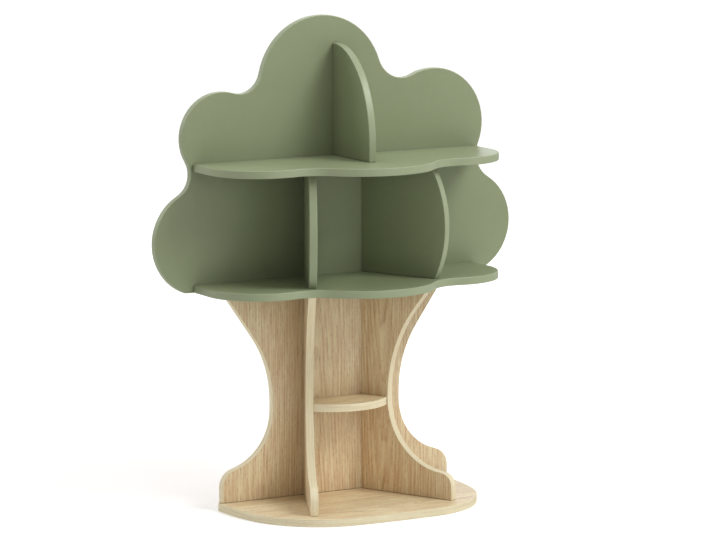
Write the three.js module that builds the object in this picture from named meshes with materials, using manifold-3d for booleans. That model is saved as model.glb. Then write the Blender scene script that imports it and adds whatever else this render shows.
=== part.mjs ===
// Tree shaped bookshelf: a cloud shaped crown of painted boards on an hourglass trunk of oak boards.
// Millimetres. X runs along the back, the front looks towards -Y, and Z is up from the floor.
// Y is zero on the front face of the back panels, and X is zero on the middle of the bookshelf.

import * as THREE from 'three';
import { mergeVertices } from 'three/addons/utils/BufferGeometryUtils.js';
import Module from 'manifold-3d';

const wasm = await Module();
wasm.setup();

// Board stock, edges and fits
const boardThickness = 18;
const paintedEdgeEase = 2;
const oakEdgeEase = 1;
const mitreGap = 0.3;
const drillClearance = 0.3;
const chordSagitta = 0.2;

// Clear heights between the horizontal boards
const trunkHeight = 496;
const middleTierHeight = 259;
const trunkShelfHeight = 207;

// Crown: five round lobes, joined by hollow fillets
const topLobeRadius = 160;
const topLobeOffset = -37;
const topLobeRise = 164;
const upperLobeRise = 56;
const upperRightRadius = 132;
const upperRightReach = 261;
const upperLeftRadius = 104;
const upperLeftReach = 295;
const lowerLobeRadius = 123;
const lowerLobeReach = 346;
const lowerLobeTrim = 9;
const rightNotchRadius = 66;
const leftNotchRadius = 55;

// Crown shelves: a wide middle lobe between two side lobes
const shelfHalfWidth = 371;
const shelfDepth = 286;
const shelfMiddleRadius = 177;
const shelfSideDepth = 203;
const shelfSideRadius = 126;
const shelfNotchRadius = 87;

// Trunk back: hourglass outline on two feet
const trunkFootReach = 300;
const trunkShoulderRadius = 43;
const trunkLowerRadius = 135;
const trunkWaistReach = 168;
const trunkWaistHeight = 206;
const trunkWaistLength = 22;
const trunkUpperRadius = 262;
const trunkTopReach = 298;

// Splayed boards: the trunk sides and the crown dividers stand on the same two lines
const splayDegrees = 25.2;
const splayHalfGap = 76.5;

// Trunk sides: hourglass front edge, depths measured along the board from the back panel
const sideFootReach = 251;
const sideShoulderRadius = 31;
const sideLowerRadius = 160;
const sideWaistReach = 71;
const sideWaistHeight = 222;
const sideWaistLength = 6;
const sideUpperRadius = 340;
const sideTopReach = 190;

// Crown dividers
const dividerFootReach = 203;
const dividerHeadReach = 192;
const dividerBulgeRadius = 265;
const topDividerReach = 171;
const topDividerHeight = 259;
const topDividerStraight = 40;

// Small shelf between the trunk sides
const trunkShelfDepth = 108;
const trunkShelfSetback = 3;

// Base board: a D whose sides, corners and front are arcs, with small round corners at the rear
const baseHalfWidth = 307;
const baseDepth = 290;
const baseSideLead = 12;
const baseSideRadius = 500;
const baseCornerRadius = 205;
const baseFrontRadius = 2000;
const baseRearRadius = 12;

// Connecting screws
const screwLength = 50;
const screwShankRadius = 3.5;
const screwHeadRadius = 5;
const screwHeadRim = 1;
const screwHeadHeight = 4;
const screwTipRadius = 1.5;
const screwTipLength = 5;
const socketRadius = 2.3;
const socketDepth = 2.5;
const baseScrewRecess = 1;
const topDividerScrewLow = 60;
const topDividerScrewHigh = 190;

// Dowels
const dowelRadius = 4;
const dowelLength = 30;
const dowelChamfer = 1;
const dowelPanelDepth = 11;
const crownDowelLength = 40;

// Places of the fasteners, as shares of the board that they follow
const shelfScrewShares = [-0.6, 0, 0.6];
const crownDowelShares = [-0.4, -0.2, 0.2, 0.4];
const trunkBackScrewShares = [-0.75, -0.25, 0.25, 0.75];
const trunkShelfScrewShares = [-0.6, 0.6];
const footScrewShares = [0.24, 0.76];
const headScrewShares = [0.25, 0.68];
const dividerFootDowelShares = [0.09, 0.46];
const dividerHeadDowelShares = [0.2, 0.75];
const topDividerDowelShares = [0.35, 0.8];

// Number of flats on the round fasteners and their holes
const fastenerSides = 12;
const socketSides = 6;

// Heights of the boards above the floor
const trunkFoot = boardThickness;
const lowerShelfUnderside = trunkFoot + trunkHeight;
const lowerShelfTop = lowerShelfUnderside + boardThickness;
const upperShelfUnderside = lowerShelfTop + middleTierHeight;
const upperShelfTop = upperShelfUnderside + boardThickness;
const trunkShelfUnderside = trunkFoot + trunkShelfHeight;
const crownTop = upperShelfTop + topLobeRise + topLobeRadius;

const splay = THREE.MathUtils.degToRad(splayDegrees);
const backPlane = new THREE.Vector3(0, 0, 0);
const alongY = new THREE.Vector3(0, 1, 0);
const alongZ = new THREE.Vector3(0, 0, 1);

// Materials
function sagePaint() {
  return new THREE.MeshStandardMaterial({ color: 0x8f9a76, roughness: 0.55, metalness: 0 });
}

function lightOak() {
  return new THREE.MeshStandardMaterial({ color: 0xc8ab7c, roughness: 0.6, metalness: 0 });
}

function zincSteel() {
  return new THREE.MeshStandardMaterial({ color: 0xb4b7b8, roughness: 0.35, metalness: 1 });
}

function beech() {
  return new THREE.MeshStandardMaterial({ color: 0xd2ac7a, roughness: 0.7, metalness: 0 });
}

// Circles and the arcs between them. An outward circle is followed anticlockwise, a hollow one clockwise.
function outward(x, y, radius) {
  return { centre: new THREE.Vector2(x, y), radius, turn: 1 };
}

function hollow(x, y, radius) {
  return { centre: new THREE.Vector2(x, y), radius, turn: -1 };
}

// Point at given distances from two circle centres, to the right of the line from the first to the second
function meetingPoint(first, firstDistance, second, secondDistance) {
  const line = second.clone().sub(first);
  const span = line.length();
  const along = (firstDistance ** 2 - secondDistance ** 2 + span ** 2) / (2 * span);
  const across = Math.sqrt(firstDistance ** 2 - along ** 2);
  const unit = line.divideScalar(span);
  const right = new THREE.Vector2(unit.y, -unit.x);
  return first.clone().addScaledVector(unit, along).addScaledVector(right, across);
}

// Hollow circle that touches two outward ones from outside, to the right of the way from first to second
function notch(first, second, radius) {
  const reach = first.radius + radius;
  const centre = meetingPoint(first.centre, reach, second.centre, second.radius + radius);
  return hollow(centre.x, centre.y, radius);
}

// Point where two touching circles meet
function touchPoint(first, second) {
  const [large, small] = first.radius > second.radius ? [first, second] : [second, first];
  const direction = small.centre.clone().sub(large.centre).normalize();
  return large.centre.clone().addScaledVector(direction, large.radius);
}

function arc(circle, from, to) {
  const start = from.clone().sub(circle.centre).angle();
  const turned = (to.clone().sub(circle.centre).angle() - start) * circle.turn;
  const sweep = THREE.MathUtils.euclideanModulo(turned, 2 * Math.PI);
  const steps = Math.ceil(sweep / (2 * Math.acos(1 - chordSagitta / circle.radius)));
  const points = [];
  for (let step = 0; step <= steps; step += 1) {
    const angle = start + circle.turn * sweep * step / steps;
    const spoke = new THREE.Vector2(Math.cos(angle), Math.sin(angle));
    points.push(circle.centre.clone().addScaledVector(spoke, circle.radius));
  }
  return points;
}

// Arcs of touching circles, one after another, from the first point to the last
function arcChain(circles, first, last) {
  const points = [];
  circles.forEach((circle, index) => {
    const from = index === 0 ? first : touchPoint(circles[index - 1], circle);
    const to = index === circles.length - 1 ? last : touchPoint(circle, circles[index + 1]);
    points.push(...arc(circle, from, to));
  });
  return points;
}

// Point where a line from an outside point touches a circle, to the left of the way to the centre
function tangentPoint(circle, point) {
  const line = point.clone().sub(circle.centre);
  const angle = line.angle() + Math.acos(circle.radius / line.length());
  const spoke = new THREE.Vector2(Math.cos(angle), Math.sin(angle));
  return circle.centre.clone().addScaledVector(spoke, circle.radius);
}

function mirrored(points) {
  return points.map((point) => new THREE.Vector2(-point.x, point.y)).reverse();
}

// Outline without the doubled points where two arcs meet
function tidyOutline(points) {
  return points.filter((point, index) => {
    const next = points[(index + 1) % points.length];
    return point.distanceTo(next) > chordSagitta;
  });
}

// Edge that runs from a foot over a round shoulder to a hollow waist, and out again to the top
function hourglassEdge(edge) {
  const lower = hollow(edge.waistReach + edge.lowerRadius, edge.waistHeight, edge.lowerRadius);
  const upperHeight = edge.waistHeight + edge.waistLength;
  const upper = hollow(edge.waistReach + edge.upperRadius, upperHeight, edge.upperRadius);
  const shoulderX = edge.footReach - edge.shoulderRadius;
  const shoulderDrop = Math.sqrt((edge.shoulderRadius + edge.lowerRadius) ** 2
    - (lower.centre.x - shoulderX) ** 2);
  const shoulder = outward(shoulderX, edge.waistHeight - shoulderDrop, edge.shoulderRadius);
  const top = new THREE.Vector2(edge.topReach, edge.height);
  const leaving = tangentPoint(upper, top);
  const overTop = top.clone().sub(leaving).setLength(boardThickness).add(top);
  return [
    new THREE.Vector2(edge.footReach, -boardThickness),
    ...arcChain([shoulder, lower], new THREE.Vector2(edge.footReach, shoulder.centre.y),
      new THREE.Vector2(edge.waistReach, edge.waistHeight)),
    ...arc(upper, new THREE.Vector2(edge.waistReach, upperHeight), leaving),
    overTop,
  ];
}

// Solids
function solidOf(geometry) {
  const bare = geometry.clone();
  bare.deleteAttribute('normal');
  bare.deleteAttribute('uv');
  const merged = mergeVertices(bare);
  return new wasm.Manifold(new wasm.Mesh({
    numProp: 3,
    vertProperties: Float32Array.from(merged.attributes.position.array),
    triVerts: Uint32Array.from(merged.index.array),
  }));
}

function geometryOf(solid) {
  const mesh = solid.getMesh();
  const geometry = new THREE.BufferGeometry();
  geometry.setAttribute('position', new THREE.BufferAttribute(mesh.vertProperties, 3));
  geometry.setIndex(new THREE.BufferAttribute(mesh.triVerts, 1));
  geometry.computeVertexNormals();
  return geometry;
}

// Board of the stock thickness with eased edges, extruded from its outline
function board(outline, ease) {
  const geometry = new THREE.ExtrudeGeometry(new THREE.Shape(tidyOutline(outline)), {
    depth: boardThickness - 2 * ease,
    bevelThickness: ease,
    bevelSize: ease,
    bevelOffset: -ease,
    bevelSegments: 1,
  });
  return solidOf(geometry.translate(0, 0, ease));
}

const bookshelf = new THREE.Group();
const solids = new Map();

function addPiece(name, solid, material, parent) {
  const mesh = new THREE.Mesh(undefined, material);
  mesh.name = name;
  solids.set(mesh, solid);
  parent.add(mesh);
  return mesh;
}

// Panel that stands across the back, its outline given in X and Z
function addUpright(name, outline, ease, material, foot) {
  const mesh = addPiece(name, board(outline, ease), material, bookshelf);
  mesh.rotation.x = Math.PI / 2;
  mesh.position.set(0, boardThickness, foot);
  return mesh;
}

// Board that lies flat, its outline given in X and Y
function addLevel(name, outline, ease, material, underside) {
  const mesh = addPiece(name, board(outline, ease), material, bookshelf);
  mesh.position.z = underside;
  return mesh;
}

// Board that stands on its edge and runs forward from the back, turned by an angle in plan.
// Its outline is given in depth from the back panel and height.
function addDeep(name, outline, ease, material, place) {
  const turned = new THREE.Group();
  turned.position.set(place.x, 0, place.foot);
  turned.rotation.z = place.angle - Math.PI / 2;
  const mesh = addPiece(name, board(outline, ease), material, turned);
  mesh.rotation.x = Math.PI / 2;
  mesh.position.y = boardThickness / 2;
  bookshelf.add(turned);
  return mesh;
}

// Side is 1 for the right hand board and -1 for the left hand one
function splayedPlace(side, foot) {
  return { x: side * splayHalfGap, angle: side * splay, foot };
}

// Solid given in the bookshelf's frame, brought into the frame of one piece
function inFrameOf(mesh, geometry) {
  mesh.updateWorldMatrix(true, false);
  return solidOf(geometry.clone().applyMatrix4(mesh.matrixWorld.clone().invert()));
}

function cutAway(mesh, geometry) {
  solids.set(mesh, solids.get(mesh).subtract(inFrameOf(mesh, geometry)));
}

// Saws off what lies beyond a plane, in the direction of its normal
function sawOff(mesh, point, normal) {
  const size = 2 * crownTop;
  const block = new THREE.BoxGeometry(size, size, size).translate(0, 0, size / 2);
  const turn = new THREE.Quaternion().setFromUnitVectors(alongZ, normal);
  cutAway(mesh, block.applyQuaternion(turn).translate(point.x, point.y, point.z));
}

const down = alongZ.clone().negate();

function sawFoot(mesh, height) {
  sawOff(mesh, new THREE.Vector3(0, 0, height), down);
}

function sawHead(mesh, height) {
  sawOff(mesh, new THREE.Vector3(0, 0, height), alongZ);
}

// Boards of the crown
function crownOutline() {
  const lowerHeight = lowerLobeRadius - lowerLobeTrim;
  const upperHeight = upperShelfTop + upperLobeRise - lowerShelfUnderside;
  const topHeight = upperShelfTop + topLobeRise - lowerShelfUnderside;
  const lowerRight = outward(lowerLobeReach, lowerHeight, lowerLobeRadius);
  const upperRight = outward(upperRightReach, upperHeight, upperRightRadius);
  const top = outward(topLobeOffset, topHeight, topLobeRadius);
  const upperLeft = outward(-upperLeftReach, upperHeight, upperLeftRadius);
  const lowerLeft = outward(-lowerLobeReach, lowerHeight, lowerLobeRadius);
  const lobes = [
    lowerRight,
    notch(lowerRight, upperRight, rightNotchRadius),
    upperRight,
    notch(upperRight, top, rightNotchRadius),
    top,
    notch(top, upperLeft, leftNotchRadius),
    upperLeft,
    notch(upperLeft, lowerLeft, leftNotchRadius),
    lowerLeft,
  ];
  return arcChain(lobes, new THREE.Vector2(lowerLobeReach, -lowerLobeTrim),
    new THREE.Vector2(-lowerLobeReach, -lowerLobeTrim));
}

function shelfOutline() {
  const sideY = shelfSideRadius - shelfSideDepth;
  const sideX = shelfHalfWidth - shelfSideRadius;
  const left = outward(-sideX, sideY, shelfSideRadius);
  const middle = outward(0, shelfMiddleRadius - shelfDepth, shelfMiddleRadius);
  const right = outward(sideX, sideY, shelfSideRadius);
  const lobes = [
    left,
    notch(left, middle, shelfNotchRadius),
    middle,
    notch(middle, right, shelfNotchRadius),
    right,
  ];
  return [
    new THREE.Vector2(-shelfHalfWidth, boardThickness),
    ...arcChain(lobes, new THREE.Vector2(-shelfHalfWidth, sideY), new THREE.Vector2(shelfHalfWidth, sideY)),
    new THREE.Vector2(shelfHalfWidth, boardThickness),
  ];
}

// Bulging front edge between the foot and the head of a crown divider
function dividerOutline() {
  const foot = new THREE.Vector2(dividerFootReach, 0);
  const head = new THREE.Vector2(dividerHeadReach, middleTierHeight);
  const centre = meetingPoint(head, dividerBulgeRadius, foot, dividerBulgeRadius);
  const bulge = outward(centre.x, centre.y, dividerBulgeRadius);
  return [
    new THREE.Vector2(-boardThickness, -boardThickness),
    new THREE.Vector2(dividerFootReach, -boardThickness),
    ...arc(bulge, foot, head),
    new THREE.Vector2(dividerHeadReach, middleTierHeight + boardThickness),
    new THREE.Vector2(-boardThickness, middleTierHeight + boardThickness),
  ];
}

function topDividerOutline() {
  const sweep = new THREE.EllipseCurve(0, topDividerStraight, topDividerReach,
    topDividerHeight - topDividerStraight, 0, Math.PI / 2);
  const steps = Math.ceil(Math.PI / 4 / Math.acos(1 - chordSagitta / topDividerReach));
  return [
    new THREE.Vector2(-boardThickness, -boardThickness),
    new THREE.Vector2(topDividerReach, -boardThickness),
    ...sweep.getPoints(steps),
    new THREE.Vector2(-boardThickness, topDividerHeight),
  ];
}

const crownBack = addUpright('crown_back', crownOutline(), paintedEdgeEase, sagePaint(), lowerShelfUnderside);
sawFoot(crownBack, lowerShelfUnderside);

function addCrownShelf(name, underside) {
  const shelf = addLevel(name, shelfOutline(), paintedEdgeEase, sagePaint(), underside);
  sawOff(shelf, backPlane, alongY);
  return shelf;
}

const upperShelf = addCrownShelf('upper_shelf', upperShelfUnderside);
const lowerShelf = addCrownShelf('lower_shelf', lowerShelfUnderside);

const topDivider = addDeep('top_divider', topDividerOutline(), paintedEdgeEase, sagePaint(),
  { x: 0, angle: 0, foot: upperShelfTop });
sawFoot(topDivider, upperShelfTop);
sawOff(topDivider, backPlane, alongY);

// The rear edge of a splayed board is mitred, to lie against the back panel
const mitrePlane = new THREE.Vector3(0, -mitreGap, 0);

function addDivider(name, side) {
  const place = splayedPlace(side, lowerShelfTop);
  const divider = addDeep(name, dividerOutline(), paintedEdgeEase, sagePaint(), place);
  sawFoot(divider, lowerShelfTop);
  sawHead(divider, upperShelfUnderside);
  sawOff(divider, mitrePlane, alongY);
  return divider;
}

const leftDivider = addDivider('left_divider', -1);
const rightDivider = addDivider('right_divider', 1);

// Boards of the trunk
function trunkBackOutline() {
  const right = hourglassEdge({
    footReach: trunkFootReach,
    shoulderRadius: trunkShoulderRadius,
    lowerRadius: trunkLowerRadius,
    waistReach: trunkWaistReach,
    waistHeight: trunkWaistHeight,
    waistLength: trunkWaistLength,
    upperRadius: trunkUpperRadius,
    topReach: trunkTopReach,
    height: trunkHeight,
  });
  return [...right, ...mirrored(right)];
}

function trunkSideOutline() {
  const front = hourglassEdge({
    footReach: sideFootReach,
    shoulderRadius: sideShoulderRadius,
    lowerRadius: sideLowerRadius,
    waistReach: sideWaistReach,
    waistHeight: sideWaistHeight,
    waistLength: sideWaistLength,
    upperRadius: sideUpperRadius,
    topReach: sideTopReach,
    height: trunkHeight,
  });
  return [
    new THREE.Vector2(-boardThickness, -boardThickness),
    ...front,
    new THREE.Vector2(-boardThickness, trunkHeight + boardThickness),
  ];
}

function baseOutline() {
  const side = outward(baseHalfWidth - baseSideRadius, -baseSideLead, baseSideRadius);
  const front = outward(0, baseFrontRadius - baseDepth, baseFrontRadius);
  const corner = meetingPoint(side.centre, baseSideRadius - baseCornerRadius,
    front.centre, baseFrontRadius - baseCornerRadius);
  const rightCorner = outward(corner.x, corner.y, baseCornerRadius);
  const leftCorner = outward(-corner.x, corner.y, baseCornerRadius);
  const leftSide = outward(-side.centre.x, side.centre.y, baseSideRadius);
  const rearY = boardThickness - baseRearRadius;
  const rearX = side.centre.x + Math.sqrt((baseSideRadius - baseRearRadius) ** 2
    - (rearY - side.centre.y) ** 2);
  const rightRear = outward(rearX, rearY, baseRearRadius);
  const leftRear = outward(-rearX, rearY, baseRearRadius);
  return arcChain([leftRear, leftSide, leftCorner, front, rightCorner, side, rightRear],
    new THREE.Vector2(-rearX, boardThickness), new THREE.Vector2(rearX, boardThickness));
}

// Point of a splayed board in plan, at a depth along it and an inset towards the middle of the bookshelf
function splayedPoint(side, depth, inset, height) {
  const x = splayHalfGap + depth * Math.sin(splay) - inset * Math.cos(splay);
  const y = -depth * Math.cos(splay) - inset * Math.sin(splay);
  return new THREE.Vector3(side * x, y, height);
}

const trunkShelfEndReach = sideWaistReach - trunkShelfSetback;

// The small shelf's front is one arc through its two front corners and its middle
function trunkShelfOutline() {
  const corner = splayedPoint(1, trunkShelfEndReach, boardThickness / 2, 0);
  const bow = trunkShelfDepth + corner.y;
  const radius = (corner.x ** 2 + bow ** 2) / (2 * bow);
  const front = outward(0, radius - trunkShelfDepth, radius);
  const wide = corner.x + boardThickness;
  const wideY = front.centre.y - Math.sqrt(radius ** 2 - wide ** 2);
  return [
    new THREE.Vector2(-wide, boardThickness),
    ...arc(front, new THREE.Vector2(-wide, wideY), new THREE.Vector2(wide, wideY)),
    new THREE.Vector2(wide, boardThickness),
  ];
}

const base = addLevel('base', baseOutline(), oakEdgeEase, lightOak(), 0);
const trunkBack = addUpright('trunk_back', trunkBackOutline(), oakEdgeEase, lightOak(), trunkFoot);
sawFoot(trunkBack, trunkFoot);
sawHead(trunkBack, lowerShelfUnderside);

function addTrunkSide(name, side) {
  const trunkSide = addDeep(name, trunkSideOutline(), oakEdgeEase, lightOak(), splayedPlace(side, trunkFoot));
  sawFoot(trunkSide, trunkFoot);
  sawHead(trunkSide, lowerShelfUnderside);
  sawOff(trunkSide, mitrePlane, alongY);
  return trunkSide;
}

const leftTrunkSide = addTrunkSide('left_trunk_side', -1);
const rightTrunkSide = addTrunkSide('right_trunk_side', 1);

const trunkShelf = addLevel('trunk_shelf', trunkShelfOutline(), oakEdgeEase, lightOak(), trunkShelfUnderside);
sawOff(trunkShelf, backPlane, alongY);
for (const side of [-1, 1]) {
  const face = splayedPoint(side, 0, boardThickness / 2 + mitreGap, 0);
  sawOff(trunkShelf, face, new THREE.Vector3(side * Math.cos(splay), Math.sin(splay), 0));
}

// Fasteners. Each stands on its own Y axis, with its head end or upper end at the top.
function turnedSolid(profile) {
  return new THREE.LatheGeometry(profile, fastenerSides);
}

// Profile of the connecting screw, from its tip to its head, grown all round by a clearance
function screwProfile(clearance, mouth) {
  return [
    new THREE.Vector2(0, -screwLength - clearance),
    new THREE.Vector2(screwTipRadius + clearance, -screwLength - clearance),
    new THREE.Vector2(screwShankRadius + clearance, screwTipLength - screwLength),
    new THREE.Vector2(screwShankRadius + clearance, -screwHeadHeight - clearance),
    new THREE.Vector2(screwHeadRadius + clearance, -screwHeadRim - clearance),
    new THREE.Vector2(screwHeadRadius + clearance, mouth),
    new THREE.Vector2(0, mouth),
  ];
}

function screwSolid() {
  const socket = new THREE.CylinderGeometry(socketRadius, socketRadius, 2 * socketDepth, socketSides);
  return solidOf(turnedSolid(screwProfile(0, 0))).subtract(solidOf(socket));
}

function dowelSolid(length) {
  const half = length / 2;
  return solidOf(turnedSolid([
    new THREE.Vector2(0, -half),
    new THREE.Vector2(dowelRadius - dowelChamfer, -half),
    new THREE.Vector2(dowelRadius, dowelChamfer - half),
    new THREE.Vector2(dowelRadius, half - dowelChamfer),
    new THREE.Vector2(dowelRadius - dowelChamfer, half),
    new THREE.Vector2(0, half),
  ]));
}

function dowelHole(length) {
  const radius = dowelRadius + drillClearance;
  const depth = length + 2 * drillClearance;
  return new THREE.CylinderGeometry(radius, radius, depth, fastenerSides);
}

function addFastener(name, solid, material, hole, at, direction, boards) {
  const mesh = addPiece(name, solid, material, bookshelf);
  mesh.position.copy(at);
  mesh.quaternion.setFromUnitVectors(alongY, direction);
  mesh.updateWorldMatrix(true, false);
  for (const piece of boards) {
    cutAway(piece, hole.clone().applyMatrix4(mesh.matrixWorld));
  }
}

// Screw whose head lies at a point, with its head looking in a direction
function addScrew(name, at, direction, boards) {
  const hole = turnedSolid(screwProfile(drillClearance, boardThickness));
  addFastener(name, screwSolid(), zincSteel(), hole, at, direction, boards);
}

// Dowel whose middle lies at a point
function addDowel(name, length, at, direction, boards) {
  addFastener(name, dowelSolid(length), beech(), dowelHole(length), at, direction, boards);
}

// Screws from behind, into the rear edges of the shelves and the top divider
const shelfMiddle = boardThickness / 2;
for (const [index, share] of shelfScrewShares.entries()) {
  const x = share * shelfHalfWidth;
  const number = index + 1;
  addScrew(`upper_shelf_screw_${number}`,
    new THREE.Vector3(x, boardThickness, upperShelfUnderside + shelfMiddle), alongY, [crownBack, upperShelf]);
  addScrew(`lower_shelf_screw_${number}`,
    new THREE.Vector3(x, boardThickness, lowerShelfUnderside + shelfMiddle), alongY, [crownBack, lowerShelf]);
}

for (const [index, height] of [topDividerScrewLow, topDividerScrewHigh].entries()) {
  const at = new THREE.Vector3(0, boardThickness, upperShelfTop + height);
  addScrew(`top_divider_screw_${index + 1}`, at, alongY, [crownBack, topDivider]);
}

for (const [index, share] of trunkShelfScrewShares.entries()) {
  const x = share * (splayHalfGap - shelfMiddle);
  const at = new THREE.Vector3(x, boardThickness, trunkShelfUnderside + shelfMiddle);
  addScrew(`trunk_shelf_screw_${index + 1}`, at, alongY, [trunkBack, trunkShelf]);
}

// Screws from below, through the base into the trunk back and the trunk sides
for (const [index, share] of trunkBackScrewShares.entries()) {
  const at = new THREE.Vector3(share * trunkFootReach, shelfMiddle, baseScrewRecess);
  addScrew(`trunk_back_screw_${index + 1}`, at, down, [base, trunkBack]);
}

const trunkSides = [['left', -1, leftTrunkSide, leftDivider], ['right', 1, rightTrunkSide, rightDivider]];

for (const [hand, side, trunkSide, divider] of trunkSides) {
  for (const [index, share] of footScrewShares.entries()) {
    const at = splayedPoint(side, share * sideFootReach, 0, baseScrewRecess);
    addScrew(`${hand}_foot_screw_${index + 1}`, at, down, [base, trunkSide]);
  }

  // Screws from above, through the lower shelf into the trunk side, hidden under the divider
  for (const [index, share] of headScrewShares.entries()) {
    const at = splayedPoint(side, share * sideTopReach, 0, lowerShelfTop);
    addScrew(`${hand}_head_screw_${index + 1}`, at, alongZ, [lowerShelf, trunkSide]);
  }

  // Dowels at the foot and the head of the divider
  const rise = dowelLength / 2 - dowelPanelDepth;
  for (const [index, share] of dividerFootDowelShares.entries()) {
    const at = splayedPoint(side, share * sideTopReach, 0, lowerShelfTop + rise);
    addDowel(`${hand}_divider_dowel_${index + 1}`, dowelLength, at, alongZ, [lowerShelf, divider]);
  }
  for (const [index, share] of dividerHeadDowelShares.entries()) {
    const number = dividerFootDowelShares.length + index + 1;
    const at = splayedPoint(side, share * dividerHeadReach, 0, upperShelfUnderside - rise);
    addDowel(`${hand}_divider_dowel_${number}`, dowelLength, at, alongZ, [upperShelf, divider]);
  }

  // Dowel from the trunk side into the end of the small shelf
  const inset = boardThickness / 2 + rise;
  const at = splayedPoint(side, trunkShelfEndReach / 2, inset, trunkShelfUnderside + shelfMiddle);
  const square = new THREE.Vector3(side * Math.cos(splay), Math.sin(splay), 0);
  addDowel(`trunk_shelf_dowel_${hand}`, dowelLength, at, square, [trunkSide, trunkShelf]);
}

for (const [index, share] of topDividerDowelShares.entries()) {
  const rise = dowelLength / 2 - dowelPanelDepth;
  const at = new THREE.Vector3(0, -share * topDividerReach, upperShelfTop + rise);
  addDowel(`top_divider_dowel_${index + 1}`, dowelLength, at, alongZ, [upperShelf, topDivider]);
}

// Dowels that line up the crown's bottom edge with the trunk's top edge
for (const [index, share] of crownDowelShares.entries()) {
  const at = new THREE.Vector3(share * shelfHalfWidth, shelfMiddle, lowerShelfUnderside);
  addDowel(`crown_dowel_${index + 1}`, crownDowelLength, at, alongZ, [crownBack, trunkBack]);
}

for (const [mesh, solid] of solids) {
  mesh.geometry = geometryOf(solid);
}

export default bookshelf;
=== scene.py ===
"""Tree shaped bookshelf: painted boards on oak boards, held by screws and dowels."""

import math

import bmesh
import bpy
import numpy as np
from bpy.props import FloatProperty, FloatVectorProperty, IntProperty, PointerProperty
from bpy.types import Operator, Panel, PropertyGroup
from mathutils import Matrix, Vector


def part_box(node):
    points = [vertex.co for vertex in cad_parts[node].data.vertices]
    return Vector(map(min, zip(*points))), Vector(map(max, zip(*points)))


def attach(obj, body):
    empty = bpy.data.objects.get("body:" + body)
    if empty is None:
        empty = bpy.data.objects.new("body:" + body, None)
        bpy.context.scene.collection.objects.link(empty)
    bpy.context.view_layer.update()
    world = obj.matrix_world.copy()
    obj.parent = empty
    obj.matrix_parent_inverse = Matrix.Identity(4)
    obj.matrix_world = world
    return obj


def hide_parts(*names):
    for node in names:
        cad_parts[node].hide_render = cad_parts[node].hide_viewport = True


bl_info = {
    "name": "Tree Shaped Bookshelf",
    "version": (1, 0, 0),
    "blender": (4, 5, 0),
    "location": "3D View > Sidebar > Bookshelf",
    "description": "Finished boards, fasteners and a studio round the packed bookshelf",
    "category": "Add Mesh",
}

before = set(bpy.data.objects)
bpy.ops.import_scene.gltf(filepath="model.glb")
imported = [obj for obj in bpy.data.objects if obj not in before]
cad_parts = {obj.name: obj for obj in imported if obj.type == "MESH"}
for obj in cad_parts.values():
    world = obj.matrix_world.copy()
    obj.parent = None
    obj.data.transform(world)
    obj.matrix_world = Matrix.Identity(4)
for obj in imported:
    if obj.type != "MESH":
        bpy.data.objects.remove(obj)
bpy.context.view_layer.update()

BODY = "root"
MILLIMETRE = 0.001

# Ends of each board that are sawn square against another board, and so have no rounding
PAINTED_BOARDS = {
    "crown_back": {"foot"},
    "upper_shelf": {"rear"},
    "lower_shelf": {"rear"},
    "top_divider": {"foot", "rear"},
    "left_divider": {"foot", "head", "rear"},
    "right_divider": {"foot", "head", "rear"},
}
OAK_BOARDS = {
    "trunk_back": {"foot", "head"},
    "left_trunk_side": {"foot", "head", "rear"},
    "right_trunk_side": {"foot", "head", "rear"},
    "trunk_shelf": {"rear", "ends"},
    "base": set(),
}

# Middle of each oak board's growth rings across and along its grain in metres, and the share that
# its tone is shifted towards the pale wood
# The shift is partly each board's own tone, partly painted light: a paler lit base, a darker shaded
# right side
VENEERS = {
    "trunk_back": ((-0.05, -0.39), 0.02),
    "left_trunk_side": ((0.16, 1.1), 0.02),
    "right_trunk_side": ((0.086, 1.0), -0.09),
    "trunk_shelf": ((-0.2, 0.5), 0.05),
    "base": ((-0.212, 0.92), 0.08),
}

# Bearing of each lamp to the right of straight ahead and its height above the horizon in degrees,
# its power in watts, and its tint
LAMPS = {
    "key": (38, 41, 126, (1, 1, 0.97)),
    "top": (0, 88, 58, (1, 1, 1)),
    "fill": (10, 12, 12, (1, 1, 1)),
    "rim": (148, 16, 9, (1, 1, 1)),
    "back": (-130, 30, 60, (1, 1, 1)),
}
LAMP_TARGET = Vector((0, -0.1, 0.65))
LAMP_DISTANCE = 5
LAMP_SIZE = 2
SENSOR_WIDTH = 36
CAMERA_REACH = 100

# Depth below a face that is clear of the rounded rims and of the holes along the board's middle
SECTION_DEPTH = 3 * MILLIMETRE

# Width of the small flat along the corners of a sawn end
SAWN_EASE = 1.4 * MILLIMETRE

# Steps in a rounded edge, and flats round a plain dowel
ROUND_STEPS = 4
DOWEL_SIDES = 32

# Material slots of every board
FACE, EDGE, CORE, ARRIS = range(4)

# How far from an inner corner the painted shade reaches, and the most of it in paint and in wood
CORNER_SHADE_REACH = 60 * MILLIMETRE
PAINT_CORNER_SHADE = 0.45
WOOD_CORNER_SHADE = 0.4

# Places closer than this count as one
NEAR = 0.1 * MILLIMETRE

# Share of a normal along an axis from which a face counts as square to that axis
SQUARE = 0.99

# Distances within which corners are merged, and a cut plane takes in a corner
WELD = 1e-6
CUT_REACH = 1e-7

# A mesh corner sharper than this keeps a crisp edge
CRISP_ANGLE = math.radians(38)

# Settings that are also inputs of the screws' geometry nodes
SCREW_SIZES = (
    "head_radius", "head_rim", "head_height", "collar_length", "thread_radius", "core_radius",
    "thread_pitch", "socket_radius", "socket_depth",
)


def label(name):
    """Returns the words of a name as a label."""
    return name.replace("_", " ").title()


def from_screen(red, green, blue):
    """Returns the linear colour that a screen shows as these 8-bit values."""
    def linear(value):
        share = value / 255
        if share <= 0.04045:
            return share / 12.92
        return ((share + 0.055) / 1.055) ** 2.4
    return linear(red), linear(green), linear(blue)


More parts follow.
